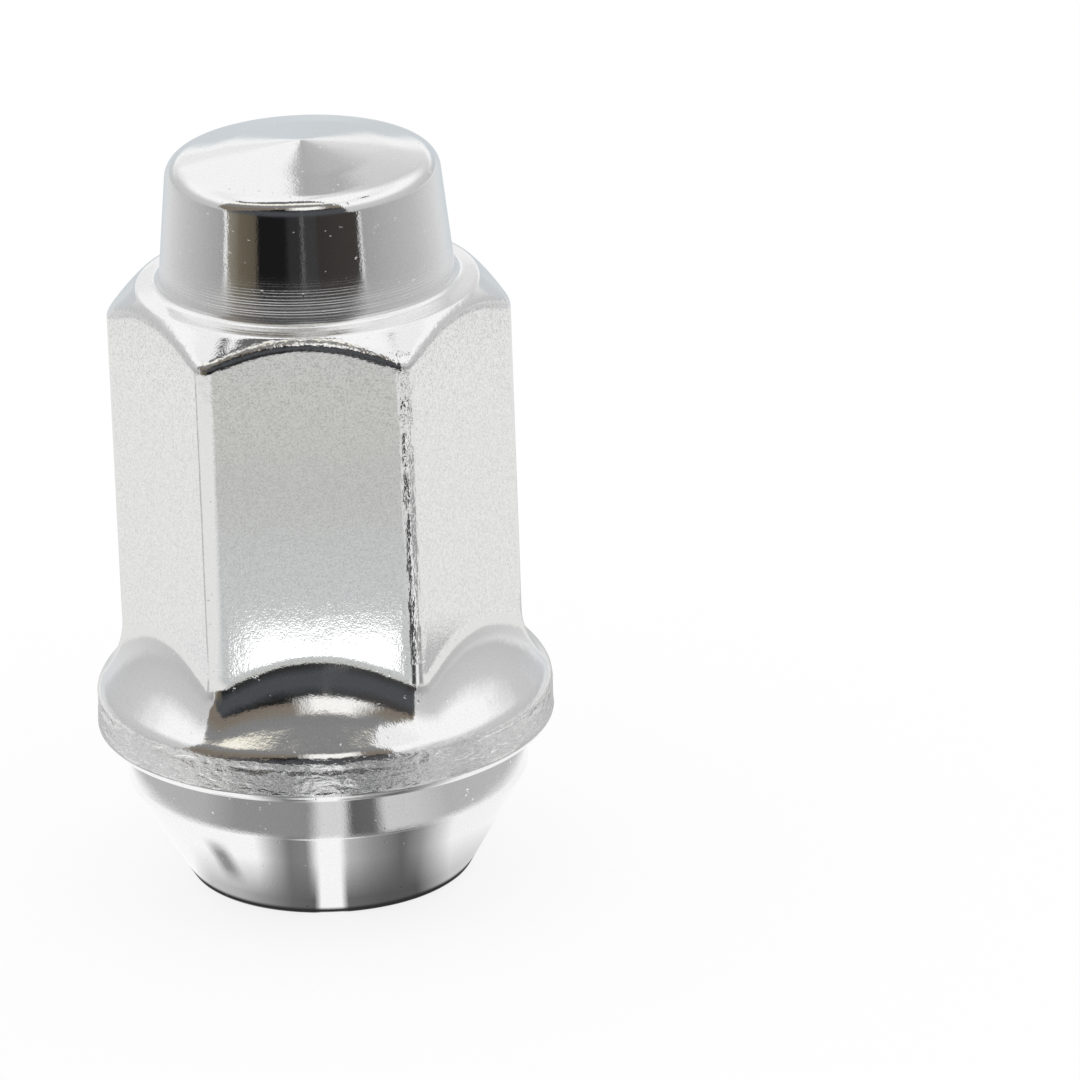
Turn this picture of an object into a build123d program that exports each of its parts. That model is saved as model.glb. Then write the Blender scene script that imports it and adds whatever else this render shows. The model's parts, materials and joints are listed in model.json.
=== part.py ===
from build123d import *
from math import cos, radians, tan
import os

# Acorn lug nut: one forged, turned and threaded piece of steel that stands on its open mouth.
# The origin is the centre of the mouth face and +Z points along the axis to the closed end.
# Lengths are in millimetres and angles in degrees.

# Wrench hexagon, which is an M14 wheel nut's 22 mm across flats
across_flats = 22.0
hex_corner_round = 1.6
hex_length = 26.5  # from the top of the flange rim to the shoulder

# Thread of the blind hole, whose wall is at the thread's minor diameter
thread_major = 14.0
thread_pitch = 1.5
minor_per_pitch = 1.0825  # an ISO inside thread's minor diameter is its major less this much of the pitch
thread_length = 28.5
thread_lead_angle = 45.0  # between the lead-in cone and the axis
drill_point_angle = 118.0

# Mouth: a counterbore wider than the stud, a countersunk lip and a flat land round it
counterbore_clearance = 0.3  # between the stud's thread and the counterbore
counterbore_depth = 3.4
lip_width = 0.45
lip_depth = 0.9
mouth_land = 1.0
mouth_edge_round = 0.4

# Seat cone, and the plain ring between it and the flange
seat_angle = 60.0
ring_height = 3.0

# Flange, measured from the hexagon's rounded corners and from its own rim
flange_overhang = 1.85  # of the rim beyond the corners
flange_step = 1.75  # of the rim beyond the ring
rim_height = 2.85
rim_top_round = 2.0  # where the flare rolls over on to the rim
rim_edge_round = 0.8

# Flare: a cone that leans in from the rim, which the hexagon grows out of in a wide hollow round
flare_angle = 41.0  # between the cone and the axis
flare_round = 3.6

# Crown: the shoulder that the cap stands on and the cone that takes off the corners
shoulder_inset = 0.4  # of the shoulder's edge from the flats
crown_angle = 45.0
crown_edge_round = 0.35

# Cap: the closed end, drawn in towards its rounded edge and slightly pointed
cap_inset = 1.85  # of the cap's foot from the flats
cap_draft = 5.5
cap_wall_height = 7.8
cap_point_height = 1.1
cap_foot_round = 0.5
cap_edge_round = 1.25

# Radii that follow from the driving sizes
half_flats = across_flats / 2
sharp_corner = half_flats / cos(radians(30))
rounded_corner = sharp_corner - hex_corner_round * (1 / cos(radians(30)) - 1)
flange_radius = rounded_corner + flange_overhang
ring_radius = flange_radius - flange_step
minor_radius = (thread_major - minor_per_pitch * thread_pitch) / 2
counterbore_radius = thread_major / 2 + counterbore_clearance
lip_radius = counterbore_radius + lip_width
mouth_radius = lip_radius + mouth_land
shoulder_radius = half_flats - shoulder_inset
cap_foot_radius = half_flats - cap_inset

# Heights above the mouth face, from the seat to the point of the cap
ring_bottom = (ring_radius - mouth_radius) / tan(radians(seat_angle / 2))
flange_bottom = ring_bottom + ring_height
rim_top = flange_bottom + rim_height
shoulder_top = rim_top + hex_length
cap_edge = shoulder_top + cap_wall_height
cap_point = cap_edge + cap_point_height
cap_edge_radius = cap_foot_radius - cap_wall_height * tan(radians(cap_draft))


def round_corner(sketch, radius, r, z):
    """Round the corner of a half section that lies at radius r and height z."""
    corner = sketch.vertices().sort_by_distance((r, z))[0]
    return fillet(corner, radius)


# Skirt: the seat cone, the ring, the flange and the flare, as one turned shape
flare_tip = rim_top + flange_radius / tan(radians(flare_angle))

with BuildPart() as skirt:
    with BuildSketch(Plane.XZ) as section:
        with BuildLine():
            Polyline(
                (0, flare_tip),
                (flange_radius, rim_top),
                (flange_radius, flange_bottom),
                (ring_radius, flange_bottom),
                (ring_radius, ring_bottom),
                (mouth_radius, 0),
                (0, 0),
                close=True,
            )
        make_face()
        round_corner(section, rim_top_round, flange_radius, rim_top)
        round_corner(section, rim_edge_round, flange_radius, flange_bottom)
        round_corner(section, mouth_edge_round, mouth_radius, 0)
    revolve(axis=Axis.Z)

# Hexagon and cap: a hexagonal bar whose end is turned down to the crown and the cap
crown_drop = (sharp_corner - shoulder_radius) * tan(radians(crown_angle))

with BuildPart() as bar:
    with BuildSketch(Plane.XY.offset(rim_top)) as hexagon:
        RegularPolygon(half_flats, 6, major_radius=False)
        fillet(hexagon.vertices(), hex_corner_round)
    extrude(amount=cap_point - rim_top)
    with BuildSketch(Plane.XZ) as section:
        with BuildLine():
            Polyline(
                (0, rim_top),
                (sharp_corner, rim_top),
                (sharp_corner, shoulder_top - crown_drop),
                (shoulder_radius, shoulder_top),
                (cap_foot_radius, shoulder_top),
                (cap_edge_radius, cap_edge),
                (0, cap_point),
                close=True,
            )
        make_face()
        round_corner(section, cap_foot_round, cap_foot_radius, shoulder_top)
        round_corner(section, cap_edge_round, cap_edge_radius, cap_edge)
    revolve(axis=Axis.Z, mode=Mode.INTERSECT)
    flats_top = shoulder_top - shoulder_inset * tan(radians(crown_angle))
    crown = bar.faces().filter_by(GeomType.CONE).sort_by(Axis.Z)[0]
    crown_edges = crown.edges().filter_by_position(Axis.Z, shoulder_top - crown_drop, flats_top)
    fillet(crown_edges.filter_by(GeomType.LINE, reverse=True), crown_edge_round)

# Blind hole: lip, counterbore, lead-in cone, thread wall and drill point, cut from the mouth
lead_end = counterbore_depth + (counterbore_radius - minor_radius) / tan(radians(thread_lead_angle))
thread_end = lead_end + thread_length
drill_tip = thread_end + minor_radius / tan(radians(drill_point_angle / 2))

with BuildPart() as hole:
    with BuildSketch(Plane.XZ):
        with BuildLine():
            Polyline(
                (0, 0),
                (lip_radius, 0),
                (counterbore_radius, lip_depth),
                (counterbore_radius, counterbore_depth),
                (minor_radius, lead_end),
                (minor_radius, thread_end),
                (0, drill_tip),
                close=True,
            )
        make_face()
    revolve(axis=Axis.Z)

# The bar grows out of the flare in a hollow round along each flat and corner
with BuildPart() as lug_nut:
    add(skirt.part)
    add(bar.part)
    flare_meets_flats = flare_tip - half_flats / tan(radians(flare_angle))
    flare_end = flare_meets_flats + flare_round
    flare_edges = lug_nut.edges().filter_by_position(Axis.Z, rim_top + rim_top_round / 2, flare_end)
    fillet(flare_edges.filter_by(GeomType.LINE, reverse=True), flare_round)
    add(hole.part, mode=Mode.SUBTRACT)

os.makedirs("parts", exist_ok=True)
export_step(lug_nut.part, "parts/lug_nut.step")
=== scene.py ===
import json
import bmesh
import bpy
import numpy as np
from mathutils import Matrix, Vector


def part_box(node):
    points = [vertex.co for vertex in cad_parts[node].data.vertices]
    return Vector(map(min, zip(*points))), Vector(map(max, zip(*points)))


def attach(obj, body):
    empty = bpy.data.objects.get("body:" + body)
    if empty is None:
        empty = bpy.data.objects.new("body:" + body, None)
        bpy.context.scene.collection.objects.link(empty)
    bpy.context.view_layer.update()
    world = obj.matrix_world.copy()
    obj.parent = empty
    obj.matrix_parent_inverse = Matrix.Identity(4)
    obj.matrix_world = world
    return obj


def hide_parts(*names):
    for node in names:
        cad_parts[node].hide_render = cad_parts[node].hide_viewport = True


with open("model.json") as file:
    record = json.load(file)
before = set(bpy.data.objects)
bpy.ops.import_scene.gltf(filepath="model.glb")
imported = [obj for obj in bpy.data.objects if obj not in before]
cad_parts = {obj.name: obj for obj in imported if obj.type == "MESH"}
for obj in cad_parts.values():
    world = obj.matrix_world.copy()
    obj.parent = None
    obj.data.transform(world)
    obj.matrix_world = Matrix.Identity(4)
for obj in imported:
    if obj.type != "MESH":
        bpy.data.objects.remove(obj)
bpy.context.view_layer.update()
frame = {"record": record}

# Lug nut
# One forged and turned piece of steel, chrome plated: bright on the turned cap, shoulder and seat, satin on
# the wrench flats, and rough round the flange's rim, where the forging's flash was trimmed off.
mm = 0.001
stud_hole = next(m for m in frame["record"]["mounts"] if m["name"] == "stud_hole")
nut_low, nut_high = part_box("lug_nut")
height = nut_high[2] / mm
flange_radius = (nut_high[0] - nut_low[0]) / 2 / mm
half_flats = 11.0
corner_round = 1.6
flange_step = 1.75
ring_height = 3.0
rim_height = 2.85
mouth_radius = 8.75
lip_radius = 7.75
lip_depth = 0.9
counterbore_radius = 7.3
counterbore_depth = 3.4
minor_radius = stud_hole["dims"]["r_mm"]
seat_half_angle = np.radians(30)
flare_angle = np.radians(41)
flare_width = 1.75
shoulder_inset = 0.4
cap_inset = 1.85
cap_draft = np.radians(5.5)
cap_wall_height = 7.8
cap_point_height = 1.1
ring_radius = flange_radius - flange_step
ring_bottom = (ring_radius - mouth_radius) / np.tan(seat_half_angle)
flange_bottom = ring_bottom + ring_height
rim_top = flange_bottom + rim_height
shoulder_radius = half_flats - shoulder_inset
cap_foot_radius = half_flats - cap_inset
cap_edge = height - cap_point_height
shoulder_top = cap_edge - cap_wall_height
cap_edge_radius = cap_foot_radius - cap_wall_height * np.tan(cap_draft)


def rounded_outline(corners, step):
    """Half section through corners (r, z, round): each corner gives way to the arc of that radius that
    touches both its sides, and arcs and straights are cut into pieces no longer than step."""
    corners = [np.array(c, float) for c in corners]
    points = [corners[0][:2]]
    for before, corner, after in zip(corners, corners[1:], corners[2:]):
        a = (before[:2] - corner[:2]) / np.linalg.norm(before[:2] - corner[:2])
        b = (after[:2] - corner[:2]) / np.linalg.norm(after[:2] - corner[:2])
        half = np.arccos(np.clip(a @ b, -1, 1)) / 2
        reach = corner[2] / np.tan(half)
        middle = corner[:2] + (a + b) / np.linalg.norm(a + b) * corner[2] / np.sin(half)
        arc_points = max(5, int(np.ceil(corner[2] * (np.pi - 2 * half) / step * 2)))
        sweep = np.linspace(-1, 1, arc_points) * (np.pi / 2 - half)
        inward = -(a + b) / np.linalg.norm(a + b)
        across = (b - a) / np.linalg.norm(b - a)
        arc = middle + corner[2] * (np.cos(sweep)[:, None] * inward + np.sin(sweep)[:, None] * across)
        points = points + straight(points[-1], corner[:2] + a * reach, step) + list(arc[1:])
    points = points + straight(points[-1], corners[-1][:2], step)
    return np.array(points).T


def straight(start, end, step):
    """Points evenly along the line from start to end, without start, at least two and step apart at most."""
    count = max(2, int(np.ceil(np.linalg.norm(end - start) / step)))
    return list(start + np.linspace(0, 1, count + 1)[1:, None] * (end - start))


def soft_max(a, b, width):
    """The larger of a and b, with a parabola of that width where they cross."""
    near = np.clip(width - np.abs(a - b), 0, None)
    return np.maximum(a, b) + near**2 / (4 * width)


# Columns stand closer at the six rounded corners than along the flats; a turn of 0 is the middle of the front
flat_count = 6
columns_per_flat = 24
columns_per_corner = 16
half_side = np.radians(30)
side = np.radians(60)
corner_reach = np.radians(4.6)
flat_half = half_side - corner_reach
flat_columns = np.linspace(-flat_half, flat_half, columns_per_flat + 1)[:-1]
corner_columns = np.linspace(flat_half, side - flat_half, columns_per_corner + 1)[:-1]
one_side = np.concatenate([flat_columns, corner_columns])
turn = (one_side[None, :] + side * np.arange(flat_count)[:, None]).ravel()
from_flat = (turn + half_side) % side - half_side
to_corner = np.abs(np.abs(from_flat) - half_side)
centre_distance = (half_flats - corner_round) / np.cos(half_side)
half_chord = np.sqrt(np.clip(corner_round**2 - (centre_distance * np.sin(to_corner))**2, 0, None))
corner_arc = centre_distance * np.cos(to_corner) + half_chord
arc_end = np.arctan2(corner_round / 2, centre_distance + corner_round * np.cos(half_side))
hexagon = np.where(to_corner < arc_end, corner_arc, half_flats / np.cos(from_flat))

# Skirt: the mouth's land, the seat cone and the ring, then the flange's underside, its rim and the start of
# the flare
underside_width = 1.1
underside = flange_radius - underside_width
mouth_edge_round = 0.4
ring_edge_round = 0.35
flange_root_round = 0.3
rim_edge_round = 0.8
rim_top_round = 2.0
seat_step = 0.5
rim_step = 0.2
seat = rounded_outline([
    (lip_radius, 0, 0),
    (mouth_radius, 0, mouth_edge_round),
    (ring_radius, ring_bottom, ring_edge_round),
    (ring_radius, flange_bottom, flange_root_round),
    (underside, flange_bottom, 0)], seat_step)
rim_roll = rounded_outline([
    (underside, flange_bottom, 0),
    (flange_radius, flange_bottom, rim_edge_round),
    (flange_radius, rim_top, rim_top_round),
    (flange_radius - np.sin(flare_angle), rim_top + np.cos(flare_angle), 0)], rim_step)
skirt_r, skirt_z = np.concatenate([seat, rim_roll[:, 1:]], axis=1)

# Flare: a cone that leans in until the hexagon has grown out of it, and the plain walls above
flare_top = rim_top + (flange_radius - half_flats + flare_width) / np.tan(flare_angle)
flare_rows = 45
flare_z = np.linspace(skirt_z[-1], flare_top, flare_rows + 1)[1:]
flare_r = flange_radius - (flare_z - rim_top) * np.tan(flare_angle)
sharp_corner = half_flats / np.cos(half_side)
crown_width = 0.4
crown_bottom = shoulder_top - (sharp_corner + crown_width - shoulder_radius)
wall_rows = 10
wall_z = np.linspace(flare_top, crown_bottom, wall_rows + 2)[1:-1]

# Crown: the cone that takes off the corners, the shoulder, sunk a little, and the cap with its blunt point
ledge = (shoulder_radius + cap_foot_radius) / 2
ledge_sink = 0.06
shoulder_sink = 0.12
shoulder_round = 0.4
cap_foot_round = 0.5
cap_edge_round = 1.25
cap_edge_sink = 0.05
point_radius = 5.2
point_sink = 0.6
point_round = 20
chamfer_step = 0.2
cap_step = 0.3
chamfer = rounded_outline([
    (sharp_corner + crown_width, crown_bottom, 0),
    (shoulder_radius, shoulder_top - shoulder_sink, shoulder_round),
    (ledge, shoulder_top - ledge_sink, 0)], chamfer_step)
cap = rounded_outline([
    (ledge, shoulder_top - ledge_sink, 0),
    (cap_foot_radius, shoulder_top, cap_foot_round),
    (cap_edge_radius, cap_edge - cap_edge_sink, cap_edge_round),
    (point_radius, height - point_sink, point_round),
    (0, height, 0)], cap_step)
crown_r, crown_z = np.concatenate([chamfer, cap[:, 1:]], axis=1)

# Outside, from the mouth's lip up to the point of the cap, as radius and height over rows and columns. The
# hexagon is blended in from just below the rim's top
blend_start = rim_top - 1
blended_skirt = soft_max(skirt_r[:, None], hexagon[None, :], flare_width)
outside_r = np.concatenate([
    np.where(skirt_z[:, None] > blend_start, blended_skirt, skirt_r[:, None]),
    soft_max(flare_r[:, None], hexagon[None, :], flare_width),
    np.broadcast_to(hexagon[None, :], (wall_z.size, turn.size)),
    -soft_max(-crown_r[:, None], -hexagon[None, :], crown_width)])
outside_z = np.concatenate([skirt_z, flare_z, wall_z, crown_z])[:, None] + 0 * turn[None, :]

# The trimmed rim is uneven: waves of many lengths round it and up it, all cut inwards, with a ragged groove
# below its upper edge
wave_count = 60
rim_cut = 0.13
groove_cut = 0.12
groove_drop = 0.6
groove_width = 0.16
groove_start = 0.35
groove_gain = 4
rough_low = flange_bottom + 0.55
rough_high = rim_top - 0.1
rough_fade = 0.3
rough_radius = ring_radius + 1.2
chance = np.random.default_rng(7)
waves = chance.integers(5, 80, wave_count)
climbs = chance.normal(0, 2.5, wave_count)
phases = chance.uniform(0, 2 * np.pi, wave_count)
swings = chance.uniform(0.4, 1, wave_count) / np.sqrt(waves)
round_waves = waves[:, None, None] * turn[None, None, :] + climbs[:, None, None] * outside_z[None]
uneven = np.einsum("k,kij->ij", swings, np.cos(round_waves + phases[:, None, None]))
uneven = np.clip(0.5 + uneven / (2.2 * np.abs(uneven).max()), 0, 1)
on_rim = np.clip(np.minimum(outside_z - rough_low, rough_high - outside_z) / rough_fade, 0, 1)
on_rim = on_rim * (outside_r > rough_radius)
groove = np.exp(-((outside_z - rim_top + groove_drop) / groove_width)**2)
groove = groove * np.clip((uneven - groove_start) * groove_gain, 0, 1)
outside_r = outside_r - on_rim * (rim_cut * uneven + groove_cut * groove)

# Bore: lip, counterbore and lead-in cone, then the thread as one ribbon that climbs about a pitch each turn,
# stretched so that whole turns fill its length. Its first and last turns are wedges that close on flat rings,
# so that the ribbon meets the plain walls
pitch = 1.5
thread_depth = 0.85
run_out_turns = 0.4
drill_half_angle = np.radians(59)
drill_rows = 9
thread_end = counterbore_depth + counterbore_radius - minor_radius + stud_hole["dims"]["length_mm"]
profile_step = np.array([0, 0.24, 0.28, 0.545, 0.58, 0.67, 0.705, 0.97])
profile_depth = np.interp(profile_step, [0, 0.26, 0.56, 0.69, 1.0], [0, 0, 1, 1, 0])
turns = int((thread_end - counterbore_depth) / pitch)
climb = (thread_end - counterbore_depth) / (turns - 1)
course = np.concatenate([(n + profile_step) for n in range(turns)] + [[turns]])[:, None]
depth = np.concatenate([np.tile(profile_depth, turns), [0]])[:, None]
lap = np.floor(course)
share = turn[None, :] / (2 * np.pi)
first_lap = (course - lap) * share
last_lap = lap - 1 + share + (course - lap) * (1 - share)
laps_up = np.where(lap < 1, first_lap, np.where(lap < turns - 1, course - 1 + share, last_lap))
thread_z = np.minimum(counterbore_depth + climb * laps_up, thread_end)
run_out = np.clip((thread_end - thread_z) / pitch - run_out_turns, 0, 1)
lead_in = counterbore_radius - (thread_z - counterbore_depth)
thread_r = np.maximum(minor_radius + thread_depth * depth * run_out, lead_in)
lip_z = np.linspace(0, lip_depth, 4)
mouth_z = np.concatenate([lip_z, np.linspace(lip_depth, counterbore_depth, 4)[1:]])
mouth_r = np.interp(mouth_z, [0, lip_depth], [lip_radius, counterbore_radius])
drill_r = minor_radius * np.linspace(1, 0, drill_rows)
drill_z = thread_end + (minor_radius - drill_r) / np.tan(drill_half_angle)


def grid_faces(rows, columns, first, climb_rows):
    """Corners of the quads of a grid that closes round on itself, with its points numbered from first; where
    the surface climbs, the last column meets the first one climb_rows higher."""
    row, column = np.meshgrid(np.arange(rows - 1), np.arange(columns), indexing="ij")
    after = (column + 1) % columns
    lift = np.where(after == 0, climb_rows, 0)
    low = np.minimum(row + lift, rows - 1)
    high = np.minimum(row + 1 + lift, rows - 1)
    quads = np.stack([row * columns + column, low * columns + after,
                      high * columns + after, (row + 1) * columns + column], axis=-1)
    return quads.reshape(-1, 4) + first


def around(r, z):
    """Points at radius r and height z over rows and columns, each column at its turn from the front, -Y."""
    return np.stack([r * np.sin(turn), -r * np.cos(turn), z + 0 * r], axis=-1).reshape(-1, 3)


surfaces = [
    (outside_r, outside_z, 0, False),
    (np.repeat(mouth_r[:, None], turn.size, 1), mouth_z[:, None], 0, True),
    (thread_r, thread_z, profile_step.size, True),
    (np.repeat(drill_r[:, None], turn.size, 1), drill_z[:, None], 0, True)]
points = []
quads = []
points_before = 0
for r, z, climb_rows, inner in surfaces:
    faces = grid_faces(r.shape[0], turn.size, points_before, climb_rows)
    points.append(around(r, z))
    quads.append(faces[:, ::-1] if inner else faces)
    points_before += r.size
nut_mesh = bpy.data.meshes.new("lug_nut_skin")
nut_mesh.from_pydata(np.concatenate(points) * mm, [], np.concatenate(quads))
merge_distance = 1e-7
build = bmesh.new()
build.from_mesh(nut_mesh)
bmesh.ops.remove_doubles(build, verts=build.verts, dist=merge_distance)
bmesh.ops.dissolve_degenerate(build, edges=build.edges, dist=merge_distance)
build.to_mesh(nut_mesh)
build.free()
nut_mesh.polygons.foreach_set("use_smooth", np.ones(len(nut_mesh.polygons), bool))
nut = bpy.data.objects.new("lug_nut_skin", nut_mesh)
bpy.context.collection.objects.link(nut)

# Masks over the finished mesh: satin flats, rougher towards the top; worn corners, most on the right; the
# trimmed rim; the turned foot of the cap; the forged skin of flange and flare; the crown's torn lower line
flat_tolerance = 0.02
satin_share = 0.5
satin_rise = 0.09
satin_depth = 8
mean_wear = 0.6
wear_swing = 0.8
least_wear = 0.15
corner_spread = 1.2
corner_low = rim_top + 5
corner_high = shoulder_top - 1.5
trim_low = flange_bottom + 0.6
trim_low_fade = 0.3
trim_high = rim_top + 0.2
trim_high_fade = 0.5
trim_radius = ring_radius + 0.6
turned_low = shoulder_top - 0.2
turned_high = shoulder_top + 3.4
turned_fade = 2.4
turned_inner = 8
turned_outer = cap_foot_radius + 0.15
forged_low = flange_bottom + 0.3
forged_high = rim_top + 5
forged_fade = 2
rounded_corner = 12.45
crown_line_reach = 0.5
spots = np.empty(len(nut_mesh.vertices) * 3, np.float32)
nut_mesh.vertices.foreach_get("co", spots)
spot_x, spot_y, spot_z = spots.reshape(-1, 3).T / mm
spot_r = np.hypot(spot_x, spot_y)
spot_turn = np.arctan2(spot_x, -spot_y)
off_flat = (spot_turn + half_side) % side - half_side
on_flat = np.abs(spot_r * np.cos(off_flat) - half_flats) < flat_tolerance
on_wall = on_flat & (spot_z > rim_top) & (spot_z < shoulder_top)
rougher = np.clip(satin_share + satin_rise * (spot_z - shoulder_top + satin_depth), satin_share, 1)
wear = np.clip(mean_wear + wear_swing * np.sin(spot_turn), least_wear, 1)
by_corner = np.clip(corner_spread - (half_side - np.abs(off_flat)) / arc_end, 0, 1)
along_corner = (spot_z > corner_low) & (spot_z < corner_high)
rim_band = np.minimum((spot_z - trim_low) / trim_low_fade, (trim_high - spot_z) / trim_high_fade)
above_foot = np.clip((turned_high - spot_z) / turned_fade, 0, 1) * (spot_z > turned_low)
on_cap_wall = (spot_r > turned_inner) & (spot_r < turned_outer)
below_walls = np.clip((forged_high - spot_z) / forged_fade, 0, 1)
crown_line_z = shoulder_top + shoulder_radius - np.minimum(half_flats / np.cos(off_flat), rounded_corner)
by_crown_line = np.clip(1 - np.abs(spot_z - crown_line_z) / crown_line_reach, 0, 1)
masks = {
    "flats": on_wall * rougher,
    "corners": wear * by_corner * along_corner,
    "rim": np.clip(rim_band, 0, 1) * (spot_r > trim_radius),
    "turned": above_foot * on_cap_wall,
    "forged": below_walls * (spot_z > forged_low),
    "crown_line": by_crown_line * (spot_r > shoulder_radius)}
for name, values in masks.items():
    nut_mesh.attributes.new(name, "FLOAT", "POINT").data.foreach_set("value", values.astype(np.float32))


def work(tree, operation, *values):
    """A Math node's result; each value is a number or another node's output."""
    node = tree.nodes.new("ShaderNodeMath")
    node.operation = operation
    for socket, value in zip(node.inputs, values):
        if isinstance(value, bpy.types.NodeSocket):
            tree.links.new(value, socket)
        else:
            socket.default_value = value
    return node.outputs[0]


def times(tree, a, b):
    """a multiplied by b."""
    return work(tree, "MULTIPLY", a, b)


def plus(tree, a, b):
    """The sum of a and b."""
    return work(tree, "ADD", a, b)


def noise(tree, place, scale, detail):
    """Noise from -0.5 to 0.5 at a place, with scale lumps to the metre."""
    node = tree.nodes.new("ShaderNodeTexNoise")
    node.inputs["Scale"].default_value = scale
    node.inputs["Detail"].default_value = detail
    tree.links.new(place, node.inputs["Vector"])
    return work(tree, "SUBTRACT", node.outputs["Fac"], 0.5)


def scaled(tree, place, scale):
    """The place multiplied by scale along x, y and z, so that a pattern shrinks by as much."""
    node = tree.nodes.new("ShaderNodeMapping")
    node.inputs["Scale"].default_value = scale
    tree.links.new(place, node.inputs["Vector"])
    return node.outputs[0]


def mask(tree, name):
    """One of the mesh's masks."""
    node = tree.nodes.new("ShaderNodeAttribute")
    node.attribute_name = name
    return node.outputs["Fac"]


# Chrome plate: a grey mirror whose tone and relief follow the masks. Reliefs are heights in metres, and lumps
# are counted to the metre
plate_grey = 0.91
flat_tone = 0.6
flat_speckle = 0.8
plain_speckle = 0.16
flat_relief = 5.5e-6
corner_relief = 8e-5
crown_line_relief = 5e-5
rim_relief = 1.3e-4
turning_relief = 3.4e-6
turning_pitch = 0.19 * mm
turning_wander = 9
forged_relief = 1.3e-5
plain_relief = 5e-6
speckle_relief = 2.4e-6
pit_relief = 1.6e-4
pit_threshold = 0.235
plate_roughness = 0.055
turned_roughness = 0.2
rim_roughness = 0.1
forged_roughness = 0.03
grain_lumps = 4300
speckle_lumps = 9000
torn_lumps = 2400
trim_lumps = 1400
wander_lumps = 2500
skin_lumps = 900
pit_lumps = 2300
chrome = bpy.data.materials.new("chrome plate")
chrome.use_nodes = True
coat = chrome.node_tree
plate = coat.nodes["Principled BSDF"]
plate.inputs["Metallic"].default_value = 1
place = coat.nodes.new("ShaderNodeTexCoord").outputs["Object"]
flats, corners, rim, turned, forged, crown_line = (mask(coat, name) for name in masks)

etched = noise(coat, place, grain_lumps, 3)
speckled = noise(coat, place, speckle_lumps, 1)
speckle = plus(coat, times(coat, flats, flat_speckle), plain_speckle)
tone = plus(coat, times(coat, etched, times(coat, flats, flat_tone)), times(coat, speckled, speckle))
plate_tone = work(coat, "MINIMUM", plus(coat, tone, plate_grey), 1)
coat.links.new(plate_tone, plate.inputs["Base Color"])

grain = times(coat, etched, times(coat, flats, flat_relief))
upright = scaled(coat, place, (1, 1, 0.35))
worn = times(coat, noise(coat, upright, torn_lumps, 3), times(coat, corners, corner_relief))
torn = times(coat, noise(coat, place, torn_lumps, 3), times(coat, crown_line, crown_line_relief))
squashed = scaled(coat, place, (1, 1, 2.2))
trimmed = times(coat, noise(coat, squashed, trim_lumps, 4), times(coat, rim, rim_relief))
axes = coat.nodes.new("ShaderNodeSeparateXYZ")
coat.links.new(place, axes.inputs[0])
drawn_round = scaled(coat, place, (0.012, 0.012, 1))
wander = times(coat, noise(coat, drawn_round, wander_lumps, 1), turning_wander)
cuts = work(coat, "SINE", plus(coat, times(coat, axes.outputs[2], 2 * np.pi / turning_pitch), wander))
turning_lines = times(coat, cuts, times(coat, turned, turning_relief))
skin_relief = plus(coat, times(coat, forged, forged_relief), plain_relief)
waviness = times(coat, noise(coat, place, skin_lumps, 3), skin_relief)
fine = times(coat, speckled, speckle_relief)
off_flats = work(coat, "MAXIMUM", work(coat, "SUBTRACT", 1, times(coat, flats, 2)), 0)
dips = work(coat, "MINIMUM", plus(coat, noise(coat, place, pit_lumps, 1), pit_threshold), 0)
pits = times(coat, dips, times(coat, off_flats, pit_relief))
relief = grain
for layer in (worn, torn, trimmed, turning_lines, waviness, fine, pits):
    relief = plus(coat, relief, layer)
bump = coat.nodes.new("ShaderNodeBump")
bump.inputs["Distance"].default_value = 1
coat.links.new(relief, bump.inputs["Height"])
coat.links.new(bump.outputs["Normal"], plate.inputs["Normal"])

roughness = plus(coat, times(coat, turned, turned_roughness), times(coat, rim, rim_roughness))
roughness = plus(coat, roughness, times(coat, forged, forged_roughness))
coat.links.new(plus(coat, roughness, plate_roughness), plate.inputs["Roughness"])
nut_mesh.materials.append(chrome)

# The bore is left as cut, so its steel is warmer and duller than the plate
steel = bpy.data.materials.new("cut steel")
steel.use_nodes = True
cut = steel.node_tree.nodes["Principled BSDF"]
cut.inputs["Base Color"].default_value = (0.56, 0.5, 0.44, 1)
cut.inputs["Metallic"].default_value = 1
cut.inputs["Roughness"].default_value = 0.28
nut_mesh.materials.append(steel)
centres = np.empty(len(nut_mesh.polygons) * 3, np.float32)
nut_mesh.polygons.foreach_get("center", centres)
centre_x, centre_y, centre_z = centres.reshape(-1, 3).T / mm
in_hole = (np.hypot(centre_x, centre_y) < lip_radius) & (centre_z < shoulder_top)
nut_mesh.polygons.foreach_set("material_index", in_hole.astype(np.int32))

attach(nut, "root")
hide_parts("lug_nut")

# Tent
# White cloth all round, with one dark opening in front, where the picture is taken from, and a lamp above it.
# The plate mirrors it; the camera itself and plain surfaces see only white. Angles are in degrees, round to
# the right from the front and up from level
all_round = (-180, 180)
up_and_down = (-90, 90)
no_end = 200


def grey(tone):
    """A colour without hue."""
    return (tone, tone, tone)


def ramp(tree, value, low, high, stops):
    """Colours along a value between low and high; each stop is a place on that scale and a colour or grey."""
    node = tree.nodes.new("ShaderNodeValToRGB")
    tree.links.new(work(tree, "DIVIDE", work(tree, "SUBTRACT", value, low), high - low), node.inputs[0])
    while len(node.color_ramp.elements) < len(stops):
        node.color_ramp.elements.new(0)
    for element, (stop, colour) in zip(node.color_ramp.elements, stops):
        element.position = (stop - low) / (high - low)
        element.color = (*(colour if isinstance(colour, tuple) else grey(colour)), 1)
    return node.outputs[0]


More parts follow.
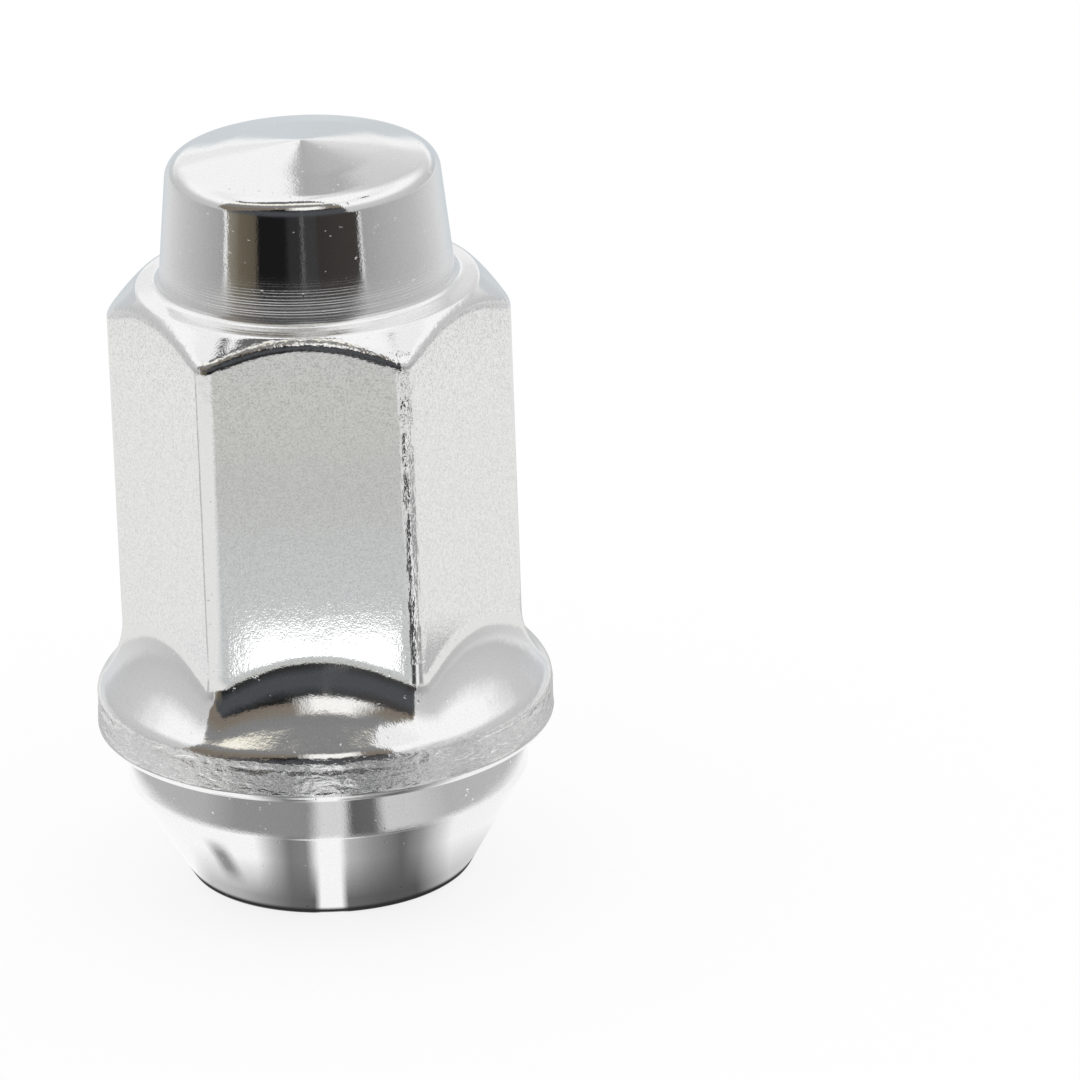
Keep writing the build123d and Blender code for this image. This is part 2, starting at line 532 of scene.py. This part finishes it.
def mix(tree, share, a, b):
    """Colour a where share is 0 and colour b where it is 1."""
    node = tree.nodes.new("ShaderNodeMix")
    node.data_type = "RGBA"
    for socket, value in zip((node.inputs[0], node.inputs[6], node.inputs[7]), (share, a, b)):
        if isinstance(value, bpy.types.NodeSocket):
            tree.links.new(value, socket)
        else:
            socket.default_value = (*value, 1)
    return node.outputs[2]


def within(tree, value, low, high, blur):
    """1 where value lies between low and high, falling to 0 across blur at either end."""
    rise = work(tree, "DIVIDE", work(tree, "SUBTRACT", value, low - blur / 2), blur)
    fall = work(tree, "DIVIDE", work(tree, "SUBTRACT", high + blur / 2, value), blur)
    node = tree.nodes.new("ShaderNodeClamp")
    tree.links.new(work(tree, "MINIMUM", rise, fall), node.inputs[0])
    return node.outputs[0]


def patch(tree, first, second):
    """1 where two values lie in their ranges at once; a range is a value, its two ends and their blur."""
    return times(tree, within(tree, *first), within(tree, *second))


def blend(tree, share, a, b):
    """Shader a where share is 0 and shader b where it is 1."""
    node = tree.nodes.new("ShaderNodeMixShader")
    for socket, value in zip(node.inputs, (share, a, b)):
        tree.links.new(value, socket)
    return node.outputs[0]


world = bpy.data.worlds.new("tent")
bpy.context.scene.world = world
world.use_nodes = True
sky = world.node_tree
way = sky.nodes.new("ShaderNodeSeparateXYZ")
sky.links.new(sky.nodes.new("ShaderNodeTexCoord").outputs["Generated"], way.inputs[0])
forward = times(sky, way.outputs[1], -1)
round_about = work(sky, "DEGREES", work(sky, "ARCTAN2", way.outputs[0], forward))
aside = work(sky, "ABSOLUTE", round_about)
aside_squared = times(sky, round_about, round_about)
above = work(sky, "DEGREES", work(sky, "ARCSINE", way.outputs[2]))

# Higher up the opening reaches further round to the left and less far to the right
left_draw = 0.33
right_draw = 0.25
to_left = patch(sky, (above, 10, no_end, 8), (round_about, -72, -20, 8))
to_right = patch(sky, (above, 0, no_end, 6), (round_about, 12, no_end, 10))
stretch = work(sky, "SUBTRACT", times(sky, to_right, right_draw), times(sky, to_left, left_draw))
shifted = times(sky, round_about, plus(sky, 1, stretch))
opening = within(sky, shifted, -63, 47, 1)

# Level with the nut: cloth, a bright hem, the brown and black of the room, and a thin pale post in its middle
umber = (0.28, 0.26, 0.22)
brown = (0.14, 0.12, 0.085)
dark_brown = (0.1, 0.085, 0.065)
warm_black = (0.038, 0.034, 0.032)
warm_shade = (0.05, 0.045, 0.042)
level = ramp(sky, shifted, *all_round, [
    (-180, 0.95), (-110, 0.56), (-65.5, 0.36), (-65, 0.85), (-63.2, 0.85), (-62.7, umber), (-50, brown),
    (-37, dark_brown), (-36, 0.01), (-14, 0.01), (-10, 0.03), (-1.5, 0.03), (-0.8, 0.14), (0.8, 0.14),
    (1.5, 0.045), (11, 0.045), (13, warm_black), (46, warm_shade), (46.5, 0.75), (48, 0.75), (48.5, 0.36),
    (100, 0.52), (180, 0.95)])
opening_share = times(sky, opening, 0.85)
haze = times(sky, within(sky, above, 1, 26, 12), opening_share)
level = mix(sky, haze, level, (0.08, 0.084, 0.094))

# Above the opening: a brown valance and a warm, bright edge that both sag at the sides, then shade
valance = (0.2, 0.17, 0.14)
valance_edge = (0.22, 0.2, 0.17)
warm_white = (1.0, 0.95, 0.8)
sag = 0.005
taper = 0.01
sagging = plus(sky, above, times(sky, aside_squared, sag))
raised = ramp(sky, sagging, -90, 120, [
    (-90, valance), (41, valance), (49, valance_edge), (52, 0.22), (63, 0.24), (66, warm_white), (74, 1.0),
    (78, 0.14), (120, 0.14)])
tapered = plus(sky, above, times(sky, aside_squared, taper))
over_floor = mix(sky, within(sky, tapered, -no_end, 41, 3), raised, level)
front = mix(sky, within(sky, above, -16, no_end, 3), grey(0.57), over_floor)

# Beside the opening: cloth, darkest about level
beside = ramp(sky, above, *up_and_down, [
    (-90, 0.82), (-20, 0.82), (0, 0.54), (22, 0.62), (34, 1.0), (45, 1.0), (50, 0.92), (58, 0.92), (63, 1.0),
    (90, 1.0)])
sides = mix(sky, within(sky, above, -20, 2, 4), beside, level)
studio = mix(sky, opening, sides, front)

# Behind: blue-grey cloth with folds above it, which differ to the left and to the right of the middle
blue_grey = (0.64, 0.68, 0.71)
behind = ramp(sky, above, *up_and_down, [
    (-90, 0.8), (-26, 0.66), (-20, blue_grey), (11, blue_grey), (14, 0.98), (17, 0.98), (19, 0.8), (22, 0.8),
    (26, 0.6), (31, 0.42), (35, 0.36), (48, 0.36), (60, 0.9)])
left_behind = ramp(sky, above, *up_and_down, [
    (-90, 0.8), (-26, 0.66), (-20, blue_grey), (11, blue_grey), (14, 0.98), (16, 0.98), (17, 0.74),
    (18, 0.98), (19.5, 0.8), (21, 0.97), (90, 0.97)])
rear = mix(sky, within(sky, round_about, -176.3, -100, 1.4), behind, left_behind)
right_behind = patch(sky, (round_about, 100, 177.2, 2.5), (above, 20, 80, 3))
rear = mix(sky, times(sky, right_behind, 0.8), rear, grey(0.72))
studio = mix(sky, within(sky, aside, 150, 190, 30), studio, rear)

# The lamp over the opening, and a dark seam high up on either side
lamp = patch(sky, (round_about, -10, 20, 10), (above, 34, 49, 4))
studio = mix(sky, lamp, studio, (1.0, 0.99, 0.96))
seam = patch(sky, (aside, 73, 83, 3), (above, 53, 58, 2))
studio = mix(sky, seam, studio, (0.03, 0.03, 0.04))

plain = sky.nodes["Background"]
plain.inputs["Color"].default_value = (1, 1, 1, 1)
mirrored = sky.nodes.new("ShaderNodeBackground")
sky.links.new(studio, mirrored.inputs["Color"])
by_mirror = sky.nodes.new("ShaderNodeLightPath").outputs["Is Glossy Ray"]
either = blend(sky, by_mirror, plain.outputs[0], mirrored.outputs[0])
sky.links.new(either, sky.nodes["World Output"].inputs["Surface"])

# Floor
# A sheet of white paper that the nut stands on. The camera sees it white with a faint shadow; the plate
# mirrors rings of painted shade and painted light on it. Places on it are in millimetres from the nut's axis,
# to the right and the front
floor_half = 1000 * mm
no_start = -10
paper_glow = 0.8
floor_mesh = bpy.data.meshes.new("floor")
floor_corners = [(-floor_half, -floor_half, 0), (floor_half, -floor_half, 0),
                 (floor_half, floor_half, 0), (-floor_half, floor_half, 0)]
floor_mesh.from_pydata(floor_corners, [], [(0, 1, 2, 3)])
floor = bpy.data.objects.new("floor", floor_mesh)
bpy.context.collection.objects.link(floor)
paper = bpy.data.materials.new("white paper")
paper.use_nodes = True
sheet = paper.node_tree
matt = sheet.nodes["Principled BSDF"]
matt.inputs["Base Color"].default_value = (1, 1, 1, 1)
matt.inputs["Roughness"].default_value = 1
matt.inputs["Specular IOR Level"].default_value = 0
spot = sheet.nodes.new("ShaderNodeSeparateXYZ")
sheet.links.new(sheet.nodes.new("ShaderNodeTexCoord").outputs["Object"], spot.inputs[0])
out_x = work(sheet, "DIVIDE", spot.outputs[0], mm)
out_y = work(sheet, "DIVIDE", spot.outputs[1], -mm)
about = work(sheet, "DEGREES", work(sheet, "ARCTAN2", out_x, out_y))
away = work(sheet, "SQRT", plus(sheet, times(sheet, out_x, out_x), times(sheet, out_y, out_y)))

# Innermost ring, which the seat mirrors: painted shade in front and to the right but for a painted bright
# bar, with a painted grey patch to the front left, a painted highlight further out and a painted line of dark
# shadow round the mouth
beneath = ramp(sheet, about, *all_round, [
    (-180, 1.0), (-75, 1.0), (-60, 0.6), (-39, 0.44), (-30, 0.32), (-22, 0.22), (-15, 0.14), (-5, 0.12),
    (-3, 1.0), (6, 1.0), (8, 0.15), (25, 0.1), (40, 0.1), (60, 0.6), (180, 1.0)])
skirting = ramp(sheet, about, *all_round, [
    (-180, 1.0), (-31, 1.0), (-23, 0.5), (-16, 0.2), (-8, 0.24), (-3.2, 1.0), (6, 1.0), (9, 0.5), (19, 0.3),
    (33, 0.14), (42, 0.3), (60, 0.95), (180, 1.0)])
under = mix(sheet, within(sheet, away, 10.8, 60, 2.4), beneath, skirting)
slanted = plus(sheet, about, times(sheet, work(sheet, "SUBTRACT", away, 11.4), 4))
# A painted grey patch to the front left of the mouth
painted_grey_patch = patch(sheet, (slanted, -53, -43, 6), (away, 10.4, 12.4, 1))
under = mix(sheet, painted_grey_patch, under, grey(0.3))
# A painted highlight 16 to 21 mm out, brightest in front
gleam = ramp(sheet, about, *all_round, [
    (-180, 0.15), (-62, 0.15), (-52, 0.6), (-38, 0.1), (-16, 0.1), (-8, 0.9), (9, 0.9), (17, 0.15),
    (180, 0.15)])
gleam = times(sheet, gleam, within(sheet, away, 16, 21, 2))
under = mix(sheet, gleam, under, (1.0, 1.0, 0.98))
# A painted line of dark shadow where the mouth meets the paper
under = mix(sheet, within(sheet, away, 8.75, 9.05, 0.2), under, grey(0.03))

# Middle ring, which the flange and the flare mirror: painted shade all round, with a painted bright bar in
# front, and lighter to the left and behind further out
near = ramp(sheet, about, *all_round, [
    (-180, 0.6), (-100, 0.5), (-60, 0.45), (-42, 0.3), (-8, 0.27), (-2, 0.7), (8, 0.7), (12, 0.12),
    (22, 0.14), (28, 0.62), (42, 0.6), (60, 0.48), (180, 0.6)])
beyond = patch(sheet, (away, 38, 90, 3), (about, -190, -45, 20))
near = mix(sheet, beyond, near, grey(0.8))

# Outer ring, which the flats mirror: grey in front, painted shade, with a bright patch, a painted pool of
# light; paler beside it, and painted strips of dark and bright towards the two front corners
front_floor = ramp(sheet, out_y, 0, 130, [
    (70, (0.586, 0.6, 0.602)), (86, (0.542, 0.546, 0.53)), (101, (0.573, 0.58, 0.543))])
# A painted pool of light on the floor in front of the nut
lit = patch(sheet, (out_y, 40, 60, 2), (out_x, -6.8, 3.5, 0.6))
front_floor = mix(sheet, lit, front_floor, grey(1.7))
far = mix(sheet, within(sheet, out_x, -30, 30, 20), (0.82, 0.82, 0.81), front_floor)
right_strip = ramp(sheet, about, 0, 90, [
    (28, 0.05), (42, 0.07), (46, 0.95), (54, 0.85), (58, 0.3), (72, 0.4)])
right_front = patch(sheet, (about, 29, 72, 6), (away, no_start, 98, 8))
far = mix(sheet, right_front, far, right_strip)
far = mix(sheet, within(sheet, about, -93, -85, 4), far, grey(0.5))
outer = mix(sheet, within(sheet, away, no_start, 50, 4), far, near)
rings = mix(sheet, within(sheet, away, no_start, 26, 3), outer, under)

# The rings of painted shade and painted light glow for mirror rays only and fade out into the tent; from
# below the paper can be seen through
glow = sheet.nodes.new("ShaderNodeEmission")
sheet.links.new(rings, glow.inputs["Color"])
clear = sheet.nodes.new("ShaderNodeBsdfTransparent").outputs[0]
fading = blend(sheet, within(sheet, away, no_start, 115, 20), clear, glow.outputs[0])
rays = sheet.nodes.new("ShaderNodeLightPath")
white = sheet.nodes.new("ShaderNodeEmission")
whitened = times(sheet, rays.outputs["Is Camera Ray"], paper_glow)
seen = blend(sheet, whitened, matt.outputs[0], white.outputs[0])
top_side = blend(sheet, rays.outputs["Is Glossy Ray"], seen, fading)
from_below = sheet.nodes.new("ShaderNodeNewGeometry").outputs["Backfacing"]
both_sides = blend(sheet, from_below, top_side, clear)
sheet.links.new(both_sides, sheet.nodes["Material Output"].inputs["Surface"])
floor_mesh.materials.append(paper)

# Camera
# A long lens that looks down from the front and is tilted a little. The picture's middle lies to the right of
# the nut and above its mouth
azimuth = np.radians(1.25)
elevation = np.radians(21.36)
tilt = np.radians(-2.02)
distance = 629.14 * mm
aim_right = 13.05 * mm
aim_up = 20.01 * mm
back = Vector((np.sin(azimuth) * np.cos(elevation), -np.cos(azimuth) * np.cos(elevation), np.sin(elevation)))
level_right = Vector((np.cos(azimuth), np.sin(azimuth), 0))
level_up = back.cross(level_right)
right = level_right * np.cos(tilt) + level_up * np.sin(tilt)
up = level_up * np.cos(tilt) - level_right * np.sin(tilt)
lens = bpy.data.cameras.new("camera")
lens.lens = 333.3
lens.sensor_width = 36
lens.clip_end = 10
camera = bpy.data.objects.new("camera", lens)
standpoint = Matrix.Translation(right * aim_right + up * aim_up + back * distance)
camera.matrix_world = standpoint @ Matrix((right, up, back)).transposed().to_4x4()
bpy.context.collection.objects.link(camera)
bpy.context.scene.camera = camera
bpy.context.scene.view_settings.view_transform = "Standard"
